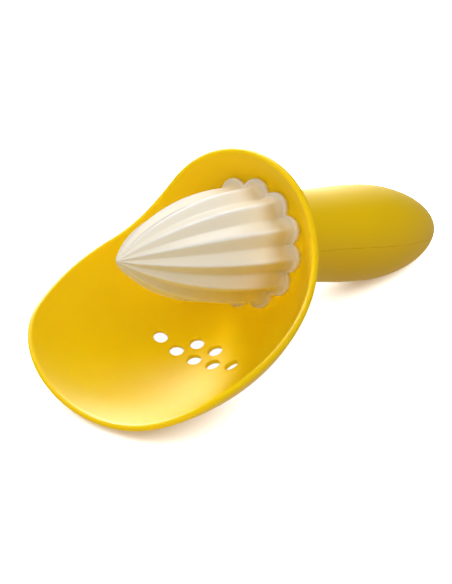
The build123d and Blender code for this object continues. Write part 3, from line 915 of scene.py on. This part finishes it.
def moulded_plastic(name, colour, deep, gloss, grain, grain_scale, marks=(), **constants):
    """A moulded plastic: two near colours clouded by a wide noise, a roughness that wanders between
    two values, and a fine grain as bump. marks tint it where the piece's own attribute says so, as
    pairs of attribute and colour. constants are the shader's other values, with _ for a space."""
    material, tree, surface = bare_material(name)
    place = own_place(tree)
    clouds = ranged(tree, noise(tree, place, CLOUD_SCALE, CLOUD_DETAIL), *CLOUD_RANGE)
    tint = mixed(tree, clouds, opaque(colour), opaque(deep))
    for attribute, mark_colour in marks:
        mark = add_node(tree, "ShaderNodeAttribute", {}, attribute_name=attribute)
        tint = mixed(tree, mark.outputs["Fac"], tint, opaque(mark_colour))
    grains = noise(tree, place, grain_scale, GRAIN_DETAIL)
    bump = {"Strength": grain, "Distance": GRAIN_DISTANCE, "Height": grains}
    inputs = {key.replace("_", " "): value for key, value in constants.items()}
    inputs["Base Color"] = tint
    inputs["Roughness"] = ranged(tree, noise(tree, place, GLOSS_SCALE, GLOSS_DETAIL), *gloss)
    inputs["Normal"] = add_node(tree, "ShaderNodeBump", bump).outputs["Normal"]
    tree.links.new(add_node(tree, "ShaderNodeBsdfPrincipled", inputs).outputs["BSDF"], surface)
    return material


def dress(piece, material, slot, body, *nodes):
    """Gives a piece its finish and its body, and hides the CAD nodes that it stands for."""
    piece.data.materials.append(material)
    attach(piece, body)
    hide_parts(*nodes)


def dress_node(name, material):
    """Gives a CAD node that stays in the scene its finish."""
    node = frame["nodes"][name]
    for number in range(len(node.data.materials)):
        node.data.materials[number] = material


# Operators

SHARP_DEGREES = 40.0
SHELL_SHARP_DEGREES = 50.0


class REAMER_OT_make_head(bpy.types.Operator):
    """Make the ribbed head with its petal flange, webs, shank and key"""

    bl_idname = "reamer.make_head"
    bl_label = "Ribbed head"

    def execute(self, context):
        sizes, colours = context.scene.reamer_head, context.scene.reamer_finishes
        angles = rib_angles(sizes)
        radius, height, edge_glow_mark, crest_highlight_mark = head_rows(sizes, angles)
        rows = lay_on_table(radius * np.cos(angles), radius * np.sin(angles), height)
        web_points, web_quads = head_webs(sizes)
        points, quads = join_meshes([(rows, grid_quads(*radius.shape)), (web_points, web_quads)])
        plain = np.zeros(len(web_points))
        # Painted light, kept as point attributes: a paler glow on the petals' thin edge and a highlight
        # along the rib crests
        marks = {
            "petal_edge_glow": np.concatenate([edge_glow_mark.ravel(), plain]),
            "crest": np.concatenate([crest_highlight_mark.ravel(), plain]),
        }
        piece = piece_from("ribbed_head", points, quads, SHARP_DEGREES, marks)
        cream = moulded_plastic(
            "cream plastic",
            colours.cream,
            colours.cream_deep,
            gloss=(0.40, 0.48),
            grain=0.06,
            grain_scale=1400.0,
            # Painted light: the petal edge colour paints a glow on the thin edge, the crest colour a
            # highlight on the crests
            marks=[("petal_edge_glow", colours.petal_edge_glow), ("crest", colours.crest)],
            Specular_IOR_Level=0.4,
            Subsurface_Weight=0.06,
            Subsurface_Radius=(0.005, 0.0035, 0.0015),
            Subsurface_Scale=1.0,
        )
        dress(piece, cream, "head_plastic", "head", "reamer_head")
        return {"FINISHED"}


class REAMER_OT_make_bowl(bpy.types.Operator):
    """Make the catcher bowl with its rounded lip, drain holes, seat and neck"""

    bl_idname = "reamer.make_bowl"
    bl_label = "Catcher bowl"

    def execute(self, context):
        colours = context.scene.reamer_finishes
        points, quads = bowl_mesh(context.scene.reamer_bowl)
        piece = piece_from("catching_bowl", points, quads, SHARP_DEGREES)
        yellow = moulded_plastic(
            "bowl yellow plastic",
            colours.bowl,
            colours.bowl_deep,
            gloss=(0.52, 0.58),
            grain=0.05,
            grain_scale=1600.0,
            Specular_IOR_Level=0.32,
            Subsurface_Weight=0.3,
            Subsurface_Radius=(0.003, 0.0014, 0.0001),
            Subsurface_Scale=1.0,
        )
        dress(piece, yellow, "bowl_plastic", "grip", "catcher_bowl")
        return {"FINISHED"}


class REAMER_OT_make_grip(bpy.types.Operator):
    """Make the two grip shells with the seam between them"""

    bl_idname = "reamer.make_grip"
    bl_label = "Grip shells"

    def execute(self, context):
        scene = context.scene
        yellow = moulded_plastic(
            "grip yellow plastic",
            scene.reamer_finishes.grip,
            scene.reamer_finishes.grip_deep,
            gloss=(0.55, 0.62),
            grain=0.08,
            grain_scale=1800.0,
            Specular_IOR_Level=0.2,
        )
        for name, side, node in (
            ("grip_upper_shell", 1, "handle_upper_shell"),
            ("grip_lower_shell", -1, "handle_lower_shell"),
        ):
            points, quads = shell_mesh(scene.reamer_grip, scene.reamer_bowl, side)
            piece = piece_from(name, points, quads, SHELL_SHARP_DEGREES)
            dress(piece, yellow, "grip_plastic", "grip", node)
        return {"FINISHED"}


class REAMER_OT_finish_inner_pieces(bpy.types.Operator):
    """Give the socket core and the seal ring their finishes"""

    bl_idname = "reamer.finish_inner_pieces"
    bl_label = "Inner pieces"

    def execute(self, context):
        core, seal = context.scene.reamer_finishes.core, context.scene.reamer_finishes.seal
        plastic = moulded_plastic("core plastic", core, core, (0.45, 0.6), grain=0.06, grain_scale=1500.0)
        rubber = moulded_plastic("seal rubber", seal, seal, (0.55, 0.75), grain=0.15, grain_scale=2200.0)
        dress_node("handle_core", plastic)
        dress_node("shank_seal", rubber)
        return {"FINISHED"}


# Stage

IMAGE_HEIGHT = 584
SENSOR_HEIGHT = 24.0
FLOOR_HALF = 3.0
FLOOR_HEIGHT = -0.0002
FLOOR_LAMP_WIDTH = 4.0
WHITE = (1.0, 1.0, 1.0)
WARM_SHINE = (1.0, 1.0, 0.8)
LIGHT_DISTANCE = 1.2
LIGHT_AIM = (0.0, 0.0, 0.03)
# Each lamp's name, azimuth and elevation in degrees, width in metres, level, kind of light, and the
# pieces that it lights
LIGHTS = (
    ("back left", 95, 38, 0.4, 0.54, "body", "yellow"),
    ("bowl right", 246, 45, 0.7, 0.21, "body", "bowl"),
    ("grip right", 268, 45, 0.7, 0.21, "body", "grip"),
    ("top", 0, 90, 0.9, 0.40, "body", "yellow"),
    ("right", 340, 32, 0.7, 0.12, "body", "bowl"),
    ("front left", 198, 14, 0.7, 0.39, "body", "bowl"),
    ("grip left", 212, 50, 0.7, 0.43, "body", "grip"),
    ("head top", 0, 90, 0.9, 0.28, "body", "cream"),
    ("head back", 95, 38, 0.4, 0.36, "body", "cream"),
    ("head left", 172, 34, 0.7, 0.24, "body", "cream"),
    ("head front", 230, 46, 0.7, 0.10, "body", "cream"),
    ("head right", 298, 44, 0.7, 0.45, "body", "cream"),
    ("high shine", 70, 36, 0.4, 3.0, "warm shine", "yellow"),
    ("low shine", 45, 24, 0.4, 2.5, "warm shine", "yellow"),
    ("crest shine", 20, 45, 0.5, 0.6, "shine", "cream"),
)


def either(tree, first, second):
    """The sum of two shares, at most 1."""
    settings = {"operation": "ADD", "use_clamp": True}
    return add_node(tree, "ShaderNodeMath", {0: first, 1: second}, **settings).outputs[0]


def seen_rays(tree):
    """Two switches: 1 for rays straight from the picture, and 1 for rays by a mirror or glass."""
    path = tree.nodes.new("ShaderNodeLightPath")
    mirrored = either(tree, path.outputs["Is Glossy Ray"], path.outputs["Is Transmission Ray"])
    return path.outputs["Is Camera Ray"], mirrored


def joined(tree, share, first, second):
    """A blend of two shaders by a share."""
    return add_node(tree, "ShaderNodeMixShader", {0: share, 1: first, 2: second}).outputs["Shader"]


def matte(tree, colour):
    """A shader that scatters light evenly."""
    return add_node(tree, "ShaderNodeBsdfDiffuse", {"Color": opaque(colour)}).outputs["BSDF"]


def glowing(tree, colour, strength=1.0):
    """A shader that gives light of its own."""
    inputs = {"Color": opaque(colour), "Strength": strength}
    return add_node(tree, "ShaderNodeEmission", inputs).outputs["Emission"]


def make_world(scene, ambient):
    """An even light from all round: white to the eye and through glass, weak on the object, and not
    mirrored by the plastics, whose shine comes from lamps of its own."""
    world = bpy.data.worlds.new("studio")
    scene.world = world
    world.use_nodes = True
    tree = world.node_tree
    background = tree.nodes["Background"]
    background.inputs["Color"].default_value = opaque(WHITE)
    strength = ranged(tree, either(tree, *seen_rays(tree)), ambient, 1.0)
    tree.links.new(strength, background.inputs["Strength"])
    world.cycles_visibility.glossy = False


def make_floor(studio):
    """A wide pale floor. To the eye it is white, of which shadows take the part that doesn't glow; to
    the light's own rays it is a plain grey that throws a little light up. In a patch under the drain
    holes and far from the object it glows fully, so that the holes and the background show white."""
    corners = FLOOR_HALF * np.array([(-1, -1), (1, -1), (1, 1), (-1, 1)])
    mesh = bpy.data.meshes.new("floor")
    mesh.from_pydata(np.hstack([corners, np.full((4, 1), FLOOR_HEIGHT)]), [], [(0, 1, 2, 3)])
    floor = add_object("floor", mesh)
    material, tree, surface = bare_material("pale floor")
    reach = {0: own_place(tree), 1: studio.patch_centre}
    away = add_node(tree, "ShaderNodeVectorMath", reach, operation="DISTANCE").outputs["Value"]
    whites = []
    for start, end in ((studio.patch_outer, studio.patch_inner), (studio.far_start, studio.far_end)):
        inputs = {"Value": away, "From Min": start, "From Max": end}
        step = add_node(tree, "ShaderNodeMapRange", inputs, interpolation_type="SMOOTHSTEP")
        whites.append(step.outputs["Result"])
    bright = glowing(tree, WHITE)
    tinted = joined(tree, studio.floor_glow, matte(tree, WHITE), glowing(tree, studio.glow_colour))
    seen = joined(tree, either(tree, *whites), tinted, bright)
    lift = glowing(tree, studio.lift_colour, studio.floor_lift)
    bounced = add_node(tree, "ShaderNodeAddShader", {0: matte(tree, studio.floor_colour), 1: lift})
    straight, mirrored = seen_rays(tree)
    unseen = joined(tree, mirrored, bounced.outputs["Shader"], bright)
    tree.links.new(joined(tree, straight, unseen, seen), surface)
    mesh.materials.append(material)
    return floor


def view_axes(turn, rise):
    """Right, up and backward directions of a lamp or camera that looks at the object from a turn
    about the upright axis, counted from x, and a rise over the table."""
    level = math.cos(rise)
    back = np.array([math.cos(turn) * level, math.sin(turn) * level, math.sin(rise)])
    right = np.array([-math.sin(turn), math.cos(turn), 0.0])
    return right, np.cross(back, right), back


def set_place(thing, place, axes):
    """Puts a lamp or camera at a place, turned to its right, up and backward directions."""
    turn = Matrix(np.stack(axes, axis=1).tolist()).to_4x4()
    thing.matrix_world = Matrix.Translation(place) @ turn


def make_light(name, azimuth, elevation, width, level, kind, lit):
    """A square soft lamp that looks at the object from an azimuth and elevation in degrees and lights
    some objects alone. A level of 1 shows a white surface that faces it as white: its watts are pi
    squared times its distance squared. Like a lamp behind a polarising filter, it gives either body
    light without shine, or shine alone."""
    lamp = bpy.data.lights.new(name, "AREA")
    lamp.shape = "SQUARE"
    lamp.size = width
    lamp.energy = math.pi**2 * LIGHT_DISTANCE**2 * level
    if kind == "warm shine":
        lamp.color = WARM_SHINE
    light = add_object(name, lamp)
    axes = view_axes(math.radians(azimuth), math.radians(elevation))
    set_place(light, np.array(LIGHT_AIM) + LIGHT_DISTANCE * axes[2], axes)
    group = bpy.data.collections.new(name + " lights")
    for thing in lit:
        group.objects.link(thing)
    light.light_linking.receiver_collection = group
    light.visible_diffuse = kind == "body"
    light.visible_glossy = kind != "body"


def make_camera(studio):
    """The camera at the photograph's viewing angle: its distance runs back from the aim point along
    its view, and its roll turns right and up about it."""
    level, rise, back = view_axes(studio.azimuth - math.pi / 2, studio.elevation)
    cos, sin = math.cos(studio.roll), math.sin(studio.roll)
    lens = bpy.data.cameras.new("camera")
    lens.sensor_fit = "VERTICAL"
    lens.sensor_height = SENSOR_HEIGHT
    lens.lens = studio.focal_pixels / IMAGE_HEIGHT * SENSOR_HEIGHT
    camera = add_object("camera", lens)
    axes = (cos * level + sin * rise, cos * rise - sin * level, back)
    set_place(camera, np.array(studio.aim) + studio.distance * back, axes)
    bpy.context.scene.camera = camera


class REAMER_OT_set_stage(bpy.types.Operator):
    """Set the floor, the soft lights and the camera"""

    bl_idname = "reamer.set_stage"
    bl_label = "Stage"

    def execute(self, context):
        studio = context.scene.reamer_studio
        context.scene.view_settings.view_transform = "Standard"
        pieces = [thing for thing in context.scene.objects if thing.type == "MESH"]
        bowl = [piece for piece in pieces if piece.name.startswith("catching")]
        grip = [piece for piece in pieces if piece.name.startswith("grip")]
        cream = [piece for piece in pieces if piece not in bowl + grip]
        lit = {"cream": cream, "bowl": bowl, "grip": grip, "yellow": bowl + grip}
        make_world(context.scene, studio.ambient)
        floor = make_floor(studio)
        make_light("over floor", 0, 90, FLOOR_LAMP_WIDTH, studio.floor_level, "body", [floor])
        for name, azimuth, elevation, width, level, kind, group in LIGHTS:
            make_light(name, azimuth, elevation, width, level * studio.light_level, kind, lit[group])
        make_camera(studio)
        return {"FINISHED"}


class REAMER_PT_sidebar(bpy.types.Panel):
    """Lists the pieces of the reamer and their sizes"""

    bl_idname = "REAMER_PT_sidebar"
    bl_label = "Citrus reamer"
    bl_space_type = "VIEW_3D"
    bl_region_type = "UI"
    bl_category = "Reamer"

    def draw(self, context):
        for operator in OPERATORS:
            self.layout.operator(operator.bl_idname)
        for name in GROUPS:
            group = getattr(context.scene, name)
            box = self.layout.box()
            for key in group.__annotations__:
                box.prop(group, key)


GROUPS = {
    "reamer_head": HeadSizes,
    "reamer_bowl": BowlSizes,
    "reamer_grip": GripSizes,
    "reamer_finishes": Finishes,
    "reamer_studio": Studio,
}
OPERATORS = (
    REAMER_OT_make_head,
    REAMER_OT_make_bowl,
    REAMER_OT_make_grip,
    REAMER_OT_finish_inner_pieces,
    REAMER_OT_set_stage,
)
CLASSES = (*GROUPS.values(), *OPERATORS, REAMER_PT_sidebar)


def register():
    """Registers the classes and hangs the sizes on the scene."""
    for group in CLASSES:
        bpy.utils.register_class(group)
    for name, group in GROUPS.items():
        setattr(bpy.types.Scene, name, PointerProperty(type=group))


def unregister():
    """Takes away what register added."""
    for name in GROUPS:
        delattr(bpy.types.Scene, name)
    for group in reversed(CLASSES):
        bpy.utils.unregister_class(group)


def main():
    """Makes every piece in order."""
    register()
    bpy.ops.reamer.make_head()
    bpy.ops.reamer.make_bowl()
    bpy.ops.reamer.make_grip()
    bpy.ops.reamer.finish_inner_pieces()
    bpy.ops.reamer.set_stage()


if __name__ == "__main__":
    main()
